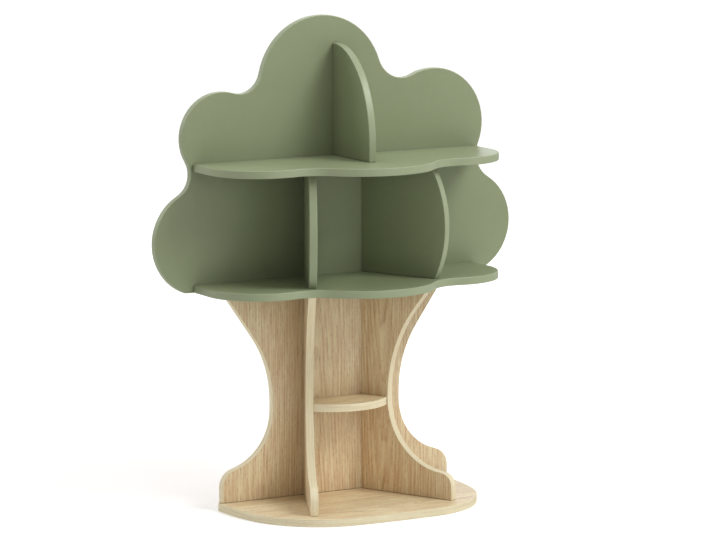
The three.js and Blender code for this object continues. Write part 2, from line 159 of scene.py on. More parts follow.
def colour(name, description, red, green, blue):
    """Returns a colour property with an on-screen colour as its default."""
    return FloatVectorProperty(
        name=name, description=description, subtype="COLOR", size=3, min=0, max=1,
        default=from_screen(red, green, blue),
    )


def factor(name, description, default):
    """Returns a property between 0 and 1."""
    return FloatProperty(
        name=name, description=description, subtype="FACTOR", min=0, max=1, default=default,
    )


def length(name, description, millimetres):
    """Returns a length property with a default in millimetres."""
    return FloatProperty(
        name=name, description=description, subtype="DISTANCE", unit="LENGTH", min=0,
        default=millimetres * MILLIMETRE, precision=5,
    )


class PaintedBoardSettings(PropertyGroup):
    """Finish of the crown's boards."""
    paint: colour("Paint", "Colour of the sage green paint", 141, 152, 118)
    # Painted shade: the colour that the paint is blended towards in inner corners
    corners: colour("Corners", "Deeper tone of the paint in inner corners", 84, 88, 74)
    # Also laid along the rounded edges as a painted highlight
    thin_paint_and_highlight: colour("Pale Paint", "Paint where the roller left it thinner", 159, 171, 139)
    rounding: length("Rounding", "Radius of the rounded board edges", 2)
    gloss: factor("Roughness", "Roughness of the satin paint", 0.38)
    peel: length("Roller Texture", "Height of the fine texture that the roller leaves", 0.05)


class OakBoardSettings(PropertyGroup):
    """Finish of the trunk's boards."""
    pale: colour("Pale Wood", "Wood between the growth lines", 250, 239, 203)
    ripe: colour("Ripe Wood", "Wood of the growth lines", 203, 160, 115)
    # Painted shade: the colour that the wood is blended towards in inner corners
    corners: colour("Corners", "Deeper tone of the lacquered wood in inner corners", 134, 94, 60)
    pores: colour("Pores", "Fine dark dashes of the pores", 124, 88, 56)
    edging: colour("Edging", "Solid strip along the board edges", 248, 240, 209)
    edging_ripe: colour("Edging Lines", "Growth lines in the edging", 220, 204, 165)
    rounding: length("Rounding", "Radius of the rounded board edges", 1)
    gloss: factor("Roughness", "Roughness of the matt lacquer", 0.52)
    coat: factor("Coat", "Strength of the clear coat over the faces", 0.3)
    line_gap: length("Growth Line Gap", "Usual distance between two growth lines", 7)
    line_sway: length("Growth Line Sway", "How far the growth lines wander sideways", 50)
    ring_slope: factor("Ring Slope", "Slope of the growth rings against the surface", 0.055)
    pore_depth: length("Pore Depth", "Depth of the pores under the lacquer", 0.12)
    core: colour("Core", "Bare wood inside a drilled hole", 201, 170, 124)
    # Partly bare sawn wood and partly painted shade, where two boards meet
    joint_tone_and_shade: colour("Joint", "Darkest tone of the sawn corners where two boards meet", 92, 62, 38)


class FastenerSettings(PropertyGroup):
    """Sizes and finish of the screws and dowels."""
    head_radius: length("Head Radius", "Radius of a screw's head", 5)
    head_rim: length("Head Rim", "Height of the straight rim of a screw's head", 1)
    head_height: length("Head Height", "Height of a screw's whole head", 4)
    collar_length: length("Collar Length", "Plain length under a screw's head", 12)
    thread_radius: length("Thread Radius", "Outer radius of a screw's thread", 3.5)
    core_radius: length("Core Radius", "Radius of a screw between its threads", 2.5)
    thread_pitch: length("Thread Pitch", "Distance between two turns of the thread", 4)
    socket_radius: length("Socket Radius", "Radius over the corners of the hex socket", 2.3)
    socket_depth: length("Socket Depth", "Depth of the hex socket", 2.5)
    dowel_radius: length("Dowel Radius", "Outer radius of a dowel", 4)
    dowel_chamfer: length("Dowel Chamfer", "Chamfer at a dowel's ends", 1)
    flute_depth: length("Flute Depth", "Depth of the grooves along a dowel", 0.3)
    drill_clearance: length("Clearance", "Room round a fastener in its hole", 0.3)
    sides: IntProperty(
        name="Sides", description="Flats round a screw's head and its hole", min=12, default=32,
    )
    zinc: colour("Zinc", "Colour of the zinc plating", 196, 200, 204)
    beech: colour("Beech", "Colour of the bare dowels", 222, 190, 148)
    beech_ripe: colour("Beech Lines", "Darker grain of the dowels", 188, 150, 108)


class StudioSettings(PropertyGroup):
    """Floor, lamps, world and camera."""
    camera_place: FloatVectorProperty(
        name="Camera Place", description="Where the camera stands", subtype="TRANSLATION",
        unit="LENGTH", size=3, default=(-4.477, -8.038, 1.921),
    )
    camera_turn: FloatProperty(
        name="Camera Turn", description="Turn of the camera's view from straight back to the right",
        subtype="ANGLE", unit="ROTATION", default=math.radians(29.43),
    )
    camera_drop: FloatProperty(
        name="Camera Drop", description="How far below the horizon the camera looks",
        subtype="ANGLE", unit="ROTATION", default=math.radians(8.54),
    )
    lens: FloatProperty(
        name="Lens", description="Focal length on a 36 mm wide sensor, in millimetres",
        min=1, default=201.87,
    )
    ambient: FloatProperty(
        name="Ambient Light", description="Even light from all round", min=0, default=0.39,
    )
    ambient_tint: colour("Ambient Tint", "Colour of the light from all round", 255, 249, 246)
    floor: colour("Floor", "Colour of the studio floor", 240, 240, 240)
    glow_near: FloatProperty(
        name="Glow Near", description="White that the camera sees in the floor at the bookshelf",
        min=0, default=0.32,
    )
    glow_far: FloatProperty(
        name="Glow Far", description="White that the camera sees in the floor far off", min=0,
        default=0.7,
    )
    glow_reach: length("Glow Reach", "Distance at which the floor reaches its far glow", 4000)
    floor_reach: length("Floor Reach", "Distance from the bookshelf to the floor's edge", 60000)


class Socket:
    """Output of a node. Sums on it add Math nodes to its tree."""

    def __init__(self, nodes, socket):
        self.nodes = nodes
        self.socket = socket

    def __add__(self, other):
        return self.nodes.maths("ADD", self, other)

    def __radd__(self, other):
        return self.nodes.maths("ADD", other, self)

    def __sub__(self, other):
        return self.nodes.maths("SUBTRACT", self, other)

    def __rsub__(self, other):
        return self.nodes.maths("SUBTRACT", other, self)

    def __mul__(self, other):
        return self.nodes.maths("MULTIPLY", self, other)

    def __rmul__(self, other):
        return self.nodes.maths("MULTIPLY", other, self)

    def __truediv__(self, other):
        return self.nodes.maths("DIVIDE", self, other)

    def __mod__(self, other):
        return self.nodes.maths("MODULO", self, other)


class Nodes:
    """A node tree, and one method that adds any node to it."""

    def __init__(self, tree):
        self.tree = tree
        tree.nodes.clear()

    def feed(self, socket, value):
        if isinstance(value, Socket):
            self.tree.links.new(value.socket, socket)
        elif isinstance(value, (list, tuple)) and value and isinstance(value[0], Socket):
            for item in value:
                self.tree.links.new(item.socket, socket)
        else:
            socket.default_value = value

    def add(self, kind, settings=None, inputs=None, output=0):
        """Adds a node, sets its settings, then feeds its inputs, and returns one of its outputs."""
        node = self.tree.nodes.new(kind)
        for name, value in (settings or {}).items():
            setattr(node, name, value)
        for name, value in (inputs or {}).items():
            self.feed(node.inputs[name], value)
        return Socket(self, node.outputs[output]) if node.outputs else node

    def maths(self, operation, *values):
        return self.add("ShaderNodeMath", {"operation": operation}, dict(enumerate(values)))


class Finish(Nodes):
    """Shader tree of one material."""

    def __init__(self, name):
        material = bpy.data.materials.new(name)
        material.use_nodes = True
        super().__init__(material.node_tree)
        self.material = material

    def place(self, scale=(1, 1, 1), turn=(0, 0, 0)):
        """Object coordinates in metres, scaled and then turned."""
        spot = self.add("ShaderNodeTexCoord", output="Object")
        return self.add("ShaderNodeMapping", inputs={
            "Vector": spot, "Scale": scale, "Rotation": turn,
        })

    def stretch(self, spot, scale, shift=(0, 0, 0)):
        return self.add("ShaderNodeMapping", inputs={
            "Vector": spot, "Scale": scale, "Location": shift,
        })

    def axis(self, spot, name):
        return self.add("ShaderNodeSeparateXYZ", inputs={"Vector": spot}, output=name)

    def noise(self, spot, scale, detail=2.0, roughness=0.5):
        return self.add("ShaderNodeTexNoise", {"noise_dimensions": "3D"}, {
            "Vector": spot, "Scale": scale, "Detail": detail, "Roughness": roughness,
        })

    def spread(self, value, low, high):
        """Stretches the part of a value between two levels to the whole of 0 to 1."""
        return self.add("ShaderNodeMapRange", {"clamp": True}, {
            "Value": value, "From Min": low, "From Max": high,
        })

    def blend(self, share, first, second):
        """Mixes two colours, given as sockets or as linear values."""
        def shade(value):
            return value if isinstance(value, Socket) else (*value, 1)
        return self.add("ShaderNodeMix", {"data_type": "RGBA"}, {
            0: share, 6: shade(first), 7: shade(second),
        }, output=2)

    def bump(self, height, distance, strength):
        return self.add("ShaderNodeBump", inputs={
            "Height": height, "Distance": distance, "Strength": strength,
        })

    def enclosed(self, reach):
        """How much of the view from a spot is closed off by what stands within reach of it."""
        clear = self.add("ShaderNodeAmbientOcclusion", {"samples": 12}, {"Distance": reach}, "AO")
        return 1 - clear

    def surface(self, base, roughness, normal, constants=None):
        inputs = {"Base Color": base, "Roughness": roughness, "Normal": normal}
        inputs.update(constants or {})
        shader = self.add("ShaderNodeBsdfPrincipled", inputs=inputs)
        self.add("ShaderNodeOutputMaterial", inputs={"Surface": shader})
        return self.material


def sage_paint(settings):
    """Satin furniture paint put on with a roller."""
    finish = Finish("sage_paint")
    spot = finish.place()
    cloud = finish.noise(spot, 7, detail=3)
    fine = finish.noise(spot, 60, detail=3)
    rim = finish.add("ShaderNodeAttribute", {"attribute_name": "rim"}, output="Fac")
    thin = finish.spread(cloud * 0.7 + fine * 0.3, 0.3, 0.7)
    # Paler where the roller left the paint thin, and along the rims as a painted highlight
    share = thin * 0.25 + rim * 0.55
    base = finish.blend(share, settings.paint, settings.thin_paint_and_highlight)
    # Painted shade: ambient occlusion darkens the paint towards inner corners
    base = finish.blend(finish.enclosed(CORNER_SHADE_REACH) * PAINT_CORNER_SHADE, base, settings.corners)
    peel = finish.noise(spot, 700, detail=2)
    stipple = finish.noise(spot, 160, detail=2)
    normal = finish.bump(peel * 0.6 + stipple * 0.4, settings.peel, 0.35)
    roughness = settings.gloss - 0.05 + cloud * 0.1
    return finish.surface(base, roughness, normal, {"Specular IOR Level": 0.42})


def oak_veneer(settings, board, heart, tone_and_light_shift):
    """Flat cut oak veneer under matt lacquer, in the board's own grain frame: X runs across the
    grain, Y through the board and Z along the grain. The heart is where the middle of the growth
    rings comes nearest to the surface, as its place across and along the board. The tone and light
    shift moves the whole pattern towards the pale wood, and below zero towards the ripe wood; it is
    partly the board's own tone and partly painted light, making a lit board paler and a shaded one
    darker."""
    finish = Finish(f"oak_veneer_{board.node}")
    grain = finish.place(turn=board.grain_turn())
    seed = (heart[0] * 31, heart[1] * 17, heart[0] * 7)

    def streaks(across, along, detail=2, roughness=0.5):
        spot = finish.stretch(grain, (across, across, along), seed)
        return finish.noise(spot, 1, detail, roughness)

    sway = streaks(7, 1.3)
    across = finish.axis(grain, "X") - heart[0] + (sway - 0.5) * settings.line_sway
    depth = (finish.axis(grain, "Z") - heart[1]) * settings.ring_slope
    reach = finish.maths("SQRT", across * across + depth * depth + settings.line_gap ** 2)
    ring = finish.maths("FRACT", reach / settings.line_gap + streaks(26, 2) * 2.2)
    line = finish.spread(ring, 0.3, 0.95) * finish.spread(ring, 1.0, 0.93)
    broken = finish.spread(streaks(90, 13, 1), 0.38, 0.64)
    streak = finish.spread(streaks(210, 13), 0.38, 0.64)
    fibre = streaks(900, 60, 2, 0.6)
    mottle = streaks(330, 130, 1)
    wide = finish.spread(streaks(100, 7), 0.34, 0.66)
    band = finish.spread(streaks(20, 1.2), 0.3, 0.7)
    pore = finish.spread(streaks(1500, 75, 1), 0.58, 0.66) * (line * 0.75 + 0.25)
    ripe = line * (broken * 0.65 + 0.35) * 0.34 + streak * 0.28 + wide * 0.18 + band * 0.18
    # Painted light per board: the shift makes a lit board paler and a shaded one darker, besides
    # its own tone
    share = ripe + (fibre - 0.5) * 0.35 + (mottle - 0.5) * 0.25 - tone_and_light_shift
    wood = finish.blend(share, settings.pale, settings.ripe)
    # Painted shade: ambient occlusion darkens the wood towards inner corners
    wood = finish.blend(finish.enclosed(CORNER_SHADE_REACH) * WOOD_CORNER_SHADE, wood, settings.corners)
    base = finish.blend(pore * 0.6, wood, settings.pores)
    normal = finish.bump(1 - pore * 0.8 - fibre * 0.4, settings.pore_depth, 0.5)
    return finish.surface(base, settings.gloss + fibre * 0.1, normal, {
        "Specular IOR Level": 0.4, "Coat Weight": settings.coat, "Coat Roughness": 0.2,
    })


def oak_edging(settings):
    """Thin solid strip that follows the edge of an oak board, its grain along the strip."""
    finish = Finish("oak_edging")
    strip = finish.add("ShaderNodeUVMap", {"uv_map": "edging"})
    fibre = finish.noise(finish.stretch(strip, (14, 480, 1)), 1, detail=3, roughness=0.6)
    line = finish.noise(finish.stretch(strip, (3, 130, 1)), 1, detail=2)
    tone = finish.noise(finish.stretch(strip, (7, 20, 1)), 1, detail=1)
    ripe = finish.spread(fibre * 0.5 + line * 0.5, 0.38, 0.66) * 0.75 + tone * 0.2
    base = finish.blend(ripe, settings.edging, settings.edging_ripe)
    dash = finish.noise(finish.stretch(strip, (70, 1500, 1)), 1, detail=1)
    pore = finish.spread(dash, 0.6, 0.75)
    base = finish.blend(pore * 0.3, base, settings.pores)
    normal = finish.bump(1 - pore * 0.6 - fibre * 0.3, 0.1 * MILLIMETRE, 0.4)
    return finish.surface(base, settings.gloss + fibre * 0.1, normal, {"Specular IOR Level": 0.4})


def raw_wood(name, first, second):
    """Bare wood, as on the walls of a drilled hole or on a sawn corner."""
    finish = Finish(name)
    spot = finish.place()
    fluff = finish.noise(spot, 900, detail=3)
    base = finish.blend(finish.spread(fluff, 0.3, 0.7), first, second)
    return finish.surface(base, 0.8 + fluff * 0.1, finish.bump(fluff, 0.2 * MILLIMETRE, 0.6))


def zinc_plate(settings):
    """Bright zinc plating with a fine brushed haze."""
    finish = Finish("zinc_plate")
    haze = finish.noise(finish.place(), 1200, detail=3)
    cloud = finish.noise(finish.place(), 220, detail=2)
    base = finish.blend(cloud * 0.5, settings.zinc, from_screen(166, 172, 180))
    roughness = 0.24 + haze * 0.2
    normal = finish.bump(haze, 0.02 * MILLIMETRE, 0.3)
    return finish.surface(base, roughness, normal, {"Metallic": 1.0})


def bare_beech(settings):
    """Turned beech with the short flecks of its rays."""
    finish = Finish("bare_beech")
    fleck = finish.noise(finish.place((500, 500, 120)), 1, detail=2)
    tone = finish.noise(finish.place(), 40, detail=2)
    share = finish.spread(fleck, 0.45, 0.75) * 0.7 + tone * 0.2
    base = finish.blend(share, settings.beech, settings.beech_ripe)
    return finish.surface(base, 0.62 + fleck * 0.1, finish.bump(fleck, 0.05 * MILLIMETRE, 0.4))


def pale_floor(settings):
    """Plain floor that keeps the bookshelf's shadow. The camera sees it nearly white."""
    finish = Finish("pale_floor")
    matt = finish.add("ShaderNodeBsdfDiffuse", inputs={"Color": (*settings.floor, 1)})
    away = finish.add("ShaderNodeVectorMath", {"operation": "LENGTH"}, {0: finish.place()}, "Value")
    share = finish.spread(away, 0.0, settings.glow_reach)
    shade = finish.blend(share, (settings.glow_near,) * 3, (settings.glow_far,) * 3)
    glow = finish.add("ShaderNodeEmission", inputs={"Color": shade})
    lit = finish.add("ShaderNodeAddShader", inputs={0: matt, 1: glow})
    seen = finish.add("ShaderNodeLightPath", output="Is Camera Ray")
    shader = finish.add("ShaderNodeMixShader", inputs={0: seen, 1: matt, 2: lit})
    finish.add("ShaderNodeOutputMaterial", inputs={"Surface": shader})
    return finish.material


def merged_copy(node):
    """Returns a CAD node's triangles as one joined shape."""
    shape = bmesh.new()
    shape.from_mesh(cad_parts[node].data)
    bmesh.ops.remove_doubles(shape, verts=shape.verts, dist=WELD)
    return shape


def flat_normal(shape):
    """Returns the normal of a board's flat faces, read from its largest triangle."""
    normal = max(shape.faces, key=lambda face: face.calc_area()).normal.copy()
    if max(normal, key=abs) < 0:
        normal.negate()
    return normal


def cut(shape, place, normal, **cleared):
    """Cuts a shape along a plane, and clears one side of it or both."""
    everything = shape.verts[:] + shape.edges[:] + shape.faces[:]
    bmesh.ops.bisect_plane(
        shape, geom=everything, dist=CUT_REACH, plane_co=place, plane_no=normal, **cleared,
    )


def bevelled(shape, edges, width, steps):
    """Bevels edges, and returns the new faces."""
    made = bmesh.ops.bevel(
        shape, geom=edges, offset=width, offset_type="OFFSET", segments=steps, profile=0.5,
        affect="EDGES", clamp_overlap=True,
    )
    shape.normal_update()
    return made["faces"]


def closed_loops(shape):
    """Returns the closed rings of corners in a shape that holds nothing but edges."""
    loops = []
    unseen = set(shape.verts)
    while unseen:
        loop = [unseen.pop()]
        while True:
            onward = [edge.other_vert(loop[-1]) for edge in loop[-1].link_edges]
            onward = [vertex for vertex in onward if vertex in unseen]
            if not onward:
                break
            unseen.remove(onward[0])
            loop.append(onward[0])
        loops.append([vertex.co.copy() for vertex in loop])
    return loops


def loop_length(loop):
    return sum((point - loop[index - 1]).length for index, point in enumerate(loop))


def corners_only(loop):
    """Leaves out the points where a loop runs straight on."""
    kept = []
    for index, point in enumerate(loop):
        before = point - loop[index - 1]
        after = loop[(index + 1) % len(loop)] - point
        if min(before.length, after.length) > WELD and before.angle(after) > 1e-3:
            kept.append(point)
    return kept


class Board:
    """A CAD board read back as an outline of stock thickness."""

    def __init__(self, node):
        self.node = node
        shape = merged_copy(node)
        self.normal = flat_normal(shape)
        levels = [vertex.co.dot(self.normal) for vertex in shape.verts]
        self.low, self.high = min(levels), max(levels)
        self.lowest, self.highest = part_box(node)
        upward = Vector((0, 1, 0)) if self.normal.z > 0.5 else Vector((0, 0, 1))
        self.across = upward.cross(self.normal).normalized()
        self.upward = self.normal.cross(self.across)
        self.section = self.low + SECTION_DEPTH
        place = self.normal * self.section
        cut(shape, place, self.normal, clear_inner=True, clear_outer=True)
        loop = corners_only(max(closed_loops(shape), key=loop_length))
        shape.free()
        outline = [Vector((point.dot(self.across), point.dot(self.upward))) for point in loop]
        turn = sum(outline[i - 1].cross(point) for i, point in enumerate(outline))
        outline = outline if turn > 0 else outline[::-1]
        first = outline.index(min(outline, key=tuple))
        self.outline = outline[first:] + outline[:first]

    def point(self, flat, level):
        return self.across * flat.x + self.upward * flat.y + self.normal * level

    def grain_turn(self):
        """Returns the turn to the grain frame. The grain stands in uprights and lies in shelves."""
        along = self.across if self.normal.z > 0.5 else self.upward
        return Matrix((self.normal.cross(along), self.normal, along)).to_euler()

    def mitred(self):
        """Says whether the rear end is cut slantwise through the thickness."""
        return 1 - SQUARE < abs(self.normal.y) < SQUARE

    def outline_past_rear(self):
        """Returns the outline with its rear points moved back, to be sawn off along the mitre."""
        back = Vector((math.copysign(20 * MILLIMETRE, self.across.y), 0))
        rear = self.highest.y - MILLIMETRE
        return [
            flat + back if self.point(flat, self.section).y > rear else flat
            for flat in self.outline
        ]


def is_sawn(board, face, sawn_ends):
    """Says whether a wall of a board is one of its sawn ends."""
    centre = face.calc_center_median()
    normal = face.normal
    if "foot" in sawn_ends and normal.z < -SQUARE and centre.z < board.lowest.z + NEAR:
        return True
    if "head" in sawn_ends and normal.z > SQUARE and centre.z > board.highest.z - NEAR:
        return True
    if "rear" in sawn_ends and normal.y > SQUARE and centre.y > board.highest.y - NEAR:
        return True
    return "ends" in sawn_ends and abs(normal.x) > 0.8


def extruded(board, outline):
    """Returns a solid of the board's thickness with square edges."""
    shape = bmesh.new()
    under = [shape.verts.new(board.point(flat, board.low)) for flat in outline]
    over = [shape.verts.new(board.point(flat, board.high)) for flat in outline]
    shape.faces.new(under[::-1])
    shape.faces.new(over)
    for index in range(len(outline)):
        shape.faces.new((under[index - 1], under[index], over[index], over[index - 1]))
    return shape


def rounded(board, shape, sawn_ends, radius):
    """Rounds the long edges of a board, and leaves those of its sawn ends."""
    def is_flat(face):
        return abs(face.normal.dot(board.normal)) > SQUARE

    def is_rim(edge):
        flats = [face for face in edge.link_faces if is_flat(face)]
        walls = [face for face in edge.link_faces if not is_flat(face)]
        return len(flats) == 1 and len(walls) == 1 and not is_sawn(board, walls[0], sawn_ends)

    shape.normal_update()
    bevelled(shape, [edge for edge in shape.edges if is_rim(edge)], radius, ROUND_STEPS)


def eased(board, shape, sawn_ends):
    """Takes the sharpness off the sawn ends, which leaves a thin dark line at their joints. Returns
    the narrow faces along the level ends, whose dark finish is partly bare sawn wood and partly
    painted shade in the joint."""
    sawn = [face for face in shape.faces if is_sawn(board, face, sawn_ends)]
    edges = [edge for edge in shape.edges if sum(face in sawn for face in edge.link_faces) == 1]
    made = bevelled(shape, edges, SAWN_EASE, 1)
    return {face for face in made if abs(face.normal.z) > 0.5}


def mark_board(board, shape, outline, arrises):
    """Sets the material of faces, edges and level sawn corners, the rim attribute, and a strip map
    round the edges."""
    rim = shape.verts.layers.float.new("rim")
    strip = shape.loops.layers.uv.new("edging")
    starts = np.array([tuple(flat) for flat in outline])
    ways = np.roll(starts, -1, axis=0) - starts
    spans = np.linalg.norm(ways, axis=1)
    ways /= spans[:, None]
    runs = np.concatenate(([0], np.cumsum(spans)[:-1]))
    near = 0.01 * MILLIMETRE
    for vertex in shape.verts:
        level = vertex.co.dot(board.normal)
        vertex[rim] = float(board.low + near < level < board.high - near)
    for face in shape.faces:
        face.smooth = True
        if abs(face.normal.dot(board.normal)) > 0.9999:
            face.material_index = FACE
            continue
        face.material_index = ARRIS if face in arrises else EDGE
        centre = face.calc_center_median()
        flat = np.array([centre.dot(board.across), centre.dot(board.upward)])
        along = np.clip(((flat - starts) * ways).sum(1), 0, spans)
        gaps = np.linalg.norm(starts + ways * along[:, None] - flat, axis=1)
        nearest = int(gaps.argmin())
        for loop in face.loops:
            place = loop.vert.co
            flat = np.array([place.dot(board.across), place.dot(board.upward)])
            run = runs[nearest] + float((flat - starts[nearest]) @ ways[nearest])
            loop[strip].uv = (run, place.dot(board.normal) - board.low)


def new_object(name, data):
    piece = bpy.data.objects.new(name, data)
    bpy.context.scene.collection.objects.link(piece)
    return piece


def drop_object(thing):
    mesh = thing.data
    bpy.data.objects.remove(thing)
    bpy.data.meshes.remove(mesh)


def settle(piece):
    """Turns a piece and its modifiers into one plain mesh."""
    depsgraph = bpy.context.evaluated_depsgraph_get()
    mesh = bpy.data.meshes.new_from_object(
        piece.evaluated_get(depsgraph), preserve_all_data_layers=True, depsgraph=depsgraph,
    )
    piece.modifiers.clear()
    piece.data = mesh


def crisp(piece):
    """Marks the sharp corners of a piece, and weighs the normals of the rest by face area."""
    shape = bmesh.new()
    shape.from_mesh(piece.data)
    for edge in shape.edges:
        edge.smooth = len(edge.link_faces) == 2 and edge.calc_face_angle() < CRISP_ANGLE
    for face in shape.faces:
        face.smooth = True
    shape.to_mesh(piece.data)
    shape.free()
    weigh = piece.modifiers.new("weigh", "WEIGHTED_NORMAL")
    weigh.keep_sharp = True
    settle(piece)


def hand_over(piece, nodes):
    """Finishes a piece's normals, and puts it in place of its CAD nodes."""
    crisp(piece)
    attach(piece, BODY)
    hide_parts(*nodes)


class Fastener:
    """Where a CAD screw or dowel lies: its head point, the way its head looks, and its length."""

    def __init__(self, node):
        self.node = node
        corners = np.array([vertex.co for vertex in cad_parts[node].data.vertices])
        corners = np.unique(corners.round(6), axis=0)
        middle = corners.mean(axis=0)
        axis = np.linalg.svd(corners - middle)[2][0]
        along = (corners - middle) @ axis
        from_axis = np.linalg.norm(corners - middle - along[:, None] * axis, axis=1)
        top_width = from_axis[along > along.max() - NEAR].max()
        foot_width = from_axis[along < along.min() + NEAR].max()
        if foot_width > top_width:
            axis, along = -axis, -along
        self.way = Vector(axis)
        self.length = float(along.max() - along.min())
        self.head = Vector(middle + axis * along.max())
        self.middle = self.head - self.way * (self.length / 2)
        self.is_screw = "screw" in node


def all_fasteners():
    names = [name for name in sorted(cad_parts) if "_screw_" in name or "_dowel_" in name]
    return [Fastener(name) for name in names]


fasteners = all_fasteners()


def boxes_meet(first, second):
    """Says whether two CAD nodes' boxes share more than a millimetre each way."""
    low_a, high_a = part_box(first)
    low_b, high_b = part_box(second)
    return all(
        min(high_a[i], high_b[i]) - max(low_a[i], low_b[i]) > MILLIMETRE for i in range(3)
    )


def add_turned(shape, profile, sides, fastener):
    """Adds a turned solid with its profile of (radius, height) pairs on a fastener's axis."""
    turn = Vector((0, 0, 1)).rotation_difference(fastener.way)
    rings = []
    for radius, height in profile:
        ring = []
        for step in range(sides):
            angle = 2 * math.pi * step / sides
            spoke = Vector((radius * math.cos(angle), radius * math.sin(angle), height))
            ring.append(shape.verts.new(fastener.head + turn @ spoke))
        rings.append(ring)
    faces = [shape.faces.new(rings[0][::-1]), shape.faces.new(rings[-1])]
    for lower, upper in zip(rings, rings[1:]):
        for step in range(sides):
            corners = (lower[step - 1], lower[step], upper[step], upper[step - 1])
            faces.append(shape.faces.new(corners))
    for face in faces:
        face.material_index = CORE


def screw_bore(fastener, settings):
    """Profile of the hole for a screw, from its tip to its mouth."""
    room = settings.drill_clearance
    mouth = 1.5 * MILLIMETRE
    return [
        (settings.core_radius + room, -fastener.length - room),
        (settings.thread_radius + room, -fastener.length + settings.thread_pitch),
        (settings.thread_radius + room, -settings.head_height - room),
        (settings.head_radius + room, -settings.head_rim - room),
        (settings.head_radius + room, mouth),
    ]


def dowel_bore(fastener, settings):
    """Profile of the hole for a dowel."""
    room = settings.drill_clearance
    radius = settings.dowel_radius + room
    return [(radius, -fastener.length - room), (radius, room)]


def drilled(piece, node, settings):
    """Drills a board for the screws and dowels that lie in it."""
    shape = bmesh.new()
    for fastener in fasteners:
        if boxes_meet(fastener.node, node):
            profile = screw_bore if fastener.is_screw else dowel_bore
            add_turned(shape, profile(fastener, settings), settings.sides, fastener)
    mesh = bpy.data.meshes.new("bores")
    shape.to_mesh(mesh)
    shape.free()
    for material in piece.data.materials:
        mesh.materials.append(material)
    bores = new_object("bores", mesh)
    cut = piece.modifiers.new("drill", "BOOLEAN")
    cut.operation = "DIFFERENCE"
    cut.solver = "EXACT"
    cut.object = bores
    settle(piece)
    drop_object(bores)


def finished_board(board, sawn_ends, radius, materials, settings):
    """Builds one board with rounded edges and drilled holes in place of its CAD node."""
    if board.mitred():
        outline = board.outline_past_rear()
    else:
        outline = board.outline
    shape = extruded(board, outline)
    if board.mitred():
        cut(shape, (0, board.highest.y, 0), (0, 1, 0), clear_outer=True)
        bmesh.ops.holes_fill(shape, edges=[edge for edge in shape.edges if edge.is_boundary])
    bmesh.ops.recalc_face_normals(shape, faces=shape.faces)
    rounded(board, shape, sawn_ends, radius)
    arrises = eased(board, shape, sawn_ends)
    mark_board(board, shape, outline, arrises)
    mesh = bpy.data.meshes.new(f"finished_{board.node}")
    shape.to_mesh(mesh)
    shape.free()
    for material in materials:
        mesh.materials.append(material)
    piece = new_object(mesh.name, mesh)
    drilled(piece, board.node, settings)
    hand_over(piece, [board.node])


def shared(name, make, *values):
    """Returns the finish of this name, which the first board that needs it makes."""
    return bpy.data.materials.get(name) or make(*values)


def bored_wood(settings):
    """Returns the one finish of all the drilled holes."""
    return shared("bored_wood", raw_wood, "bored_wood", settings.core, settings.ripe)


def painted_board(context, *nodes):
    """Builds boards in sage green paint."""
    scene = context.scene
    paint = shared("sage_paint", sage_paint, scene.painted_boards)
    core = bored_wood(scene.oak_boards)
    for node in nodes:
        finished_board(
            Board(node), PAINTED_BOARDS[node], scene.painted_boards.rounding,
            (paint, paint, core, paint), scene.fasteners,
        )


def oak_board(context, *nodes):
    """Builds boards in oak veneer with solid edging."""
    scene = context.scene
    settings = scene.oak_boards
    edging = shared("oak_edging", oak_edging, settings)
    core = bored_wood(settings)
    # Level sawn corners: bare wood, darkened further as painted shade in the joints
    arris = shared("dark_arris", raw_wood, "dark_arris", settings.pores, settings.joint_tone_and_shade)
    for node in nodes:
        board = Board(node)
        veneer = oak_veneer(settings, board, *VENEERS[node])
        finished_board(
            board, OAK_BOARDS[node], settings.rounding, (veneer, edging, core, arris),
            scene.fasteners,
        )


class Recipe(Nodes):
    """Geometry node tree with named inputs, run once on a set of points."""

    def __init__(self, name):
        super().__init__(bpy.data.node_groups.new(name, "GeometryNodeTree"))
        self.entry = self.tree.nodes.new("NodeGroupInput")
        self.identifiers = {}
        self.tree.interface.new_socket("Result", in_out="OUTPUT", socket_type="NodeSocketGeometry")
        self.points = self.input("Points", "NodeSocketGeometry")

    def input(self, name, kind="NodeSocketFloat"):
        item = self.tree.interface.new_socket(name, in_out="INPUT", socket_type=kind)
        self.identifiers[name] = item.identifier
        return Socket(self, self.entry.outputs[name])

    def at_height(self, geometry, height):
        spot = self.add("ShaderNodeCombineXYZ", inputs={"Z": height})
        return self.add("GeometryNodeTransform", inputs={"Geometry": geometry, "Translation": spot})

    def copies(self, geometry, material):
        """Puts a copy on every point, turned the way that the point looks, and ends the tree."""
        way = self.add(
            "GeometryNodeInputNamedAttribute", {"data_type": "FLOAT_VECTOR"}, {"Name": "way"},
        )
        turn = self.add("FunctionNodeAlignRotationToVector", {"axis": "Z"}, {"Vector": way})
        placed = self.add("GeometryNodeInstanceOnPoints", inputs={
            "Points": self.points, "Instance": geometry, "Rotation": turn,
        })
        real = self.add("GeometryNodeRealizeInstances", inputs={"Geometry": placed})
        done = self.add("GeometryNodeSetMaterial", inputs={"Geometry": real, "Material": material})
        self.add("NodeGroupOutput", inputs={"Result": done})

    def run(self, name, spots, values):
        """Runs the tree on pairs of a place and the way that it looks, and returns its result as a
        plain mesh object."""
        places, ways = zip(*spots)
        mesh = bpy.data.meshes.new(name)
        mesh.from_pydata(places, [], [])
        looks = mesh.attributes.new("way", "FLOAT_VECTOR", "POINT")
        looks.data.foreach_set("vector", [share for way in ways for share in way])
        piece = new_object(name, mesh)
        modifier = piece.modifiers.new("recipe", "NODES")
        modifier.node_group = self.tree
        for label, value in values.items():
            modifier[self.identifiers[label]] = value
        settle(piece)
        return piece


